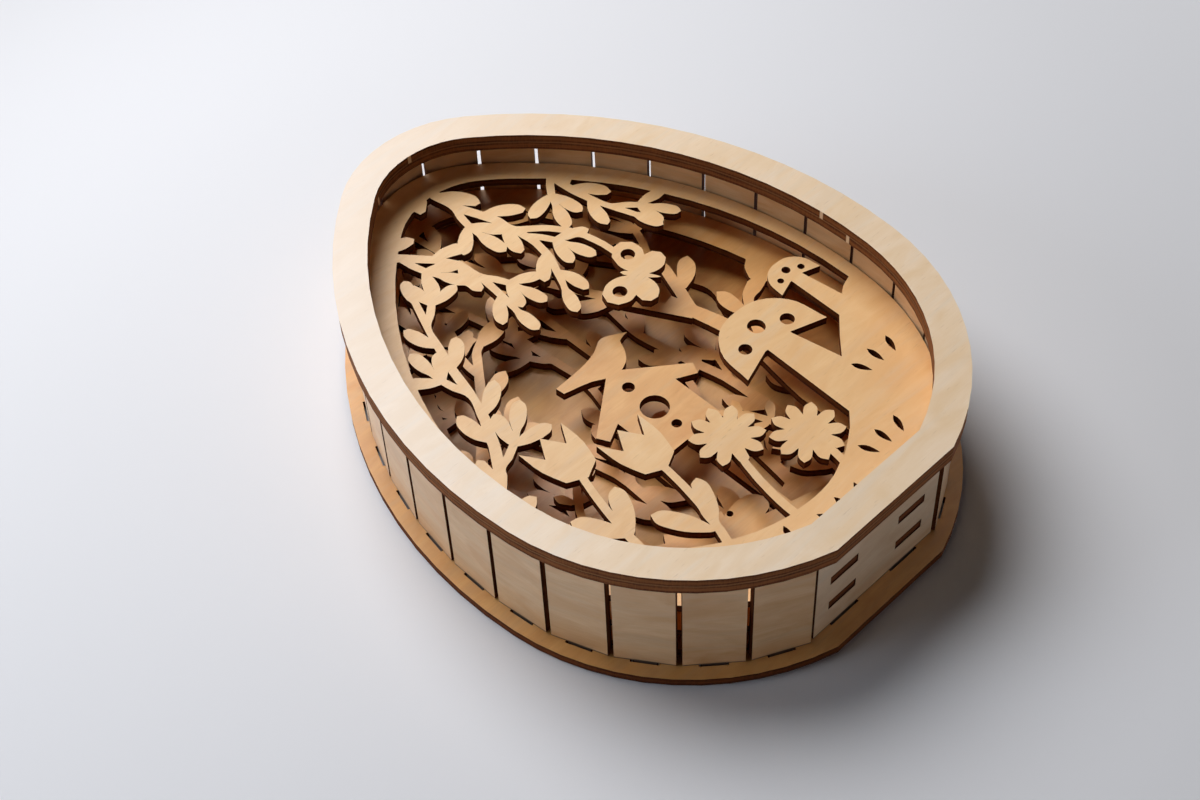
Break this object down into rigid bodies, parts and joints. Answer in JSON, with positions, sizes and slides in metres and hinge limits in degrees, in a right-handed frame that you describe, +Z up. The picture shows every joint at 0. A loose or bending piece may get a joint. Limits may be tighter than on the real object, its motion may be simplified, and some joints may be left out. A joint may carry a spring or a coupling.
{
  "type": "laser-cut wooden shadow box",
  "caption": "Egg-shaped plywood shadow box with a slatted wall, an overhanging rim and stepped layers of pierced garden fretwork.",
  "frame": {"origin": "under the middle of the base plate, on the surface that the box lies on", "axes": "+Z up through the open front, +Y along the egg towards its narrow tip, +X to the right seen from the open front with the tip up"},
  "size_m": [0.173, 0.2236, 0.0485],
  "materials": {
    "birch_rim": "bare sanded birch plywood face, laser-charred dark brown edges",
    "birch_wall": "bare birch plywood face with the grain running round the wall, charred edges",
    "birch_fret": "bare birch plywood fretwork, charred edges",
    "birch_base": "bare birch plywood, a warmer tone, charred edges"
  },
  "bodies": {
    "root": {"base_plate": "birch_base", "end_panel": "birch_wall", "slat_01": "birch_wall", "slat_02": "birch_wall", "slat_03": "birch_wall", "slat_04": "birch_wall", "slat_05": "birch_wall", "slat_06": "birch_wall", "slat_07": "birch_wall", "slat_08": "birch_wall", "slat_09": "birch_wall", "slat_10": "birch_wall", "slat_11": "birch_wall", "slat_12": "birch_wall", "slat_13": "birch_wall", "slat_14": "birch_wall", "slat_15": "birch_wall", "slat_16": "birch_wall", "slat_17": "birch_wall", "slat_18": "birch_wall", "slat_19": "birch_wall", "slat_20": "birch_wall", "slat_21": "birch_wall", "slat_22": "birch_wall", "slat_23": "birch_wall", "slat_24": "birch_wall", "slat_25": "birch_wall", "slat_26": "birch_wall", "slat_27": "birch_wall", "under_ring": "birch_rim", "top_ring": "birch_rim", "fret_back": "birch_fret", "fret_middle": "birch_fret", "fret_front": "birch_fret"}
  },
  "joints": []
}
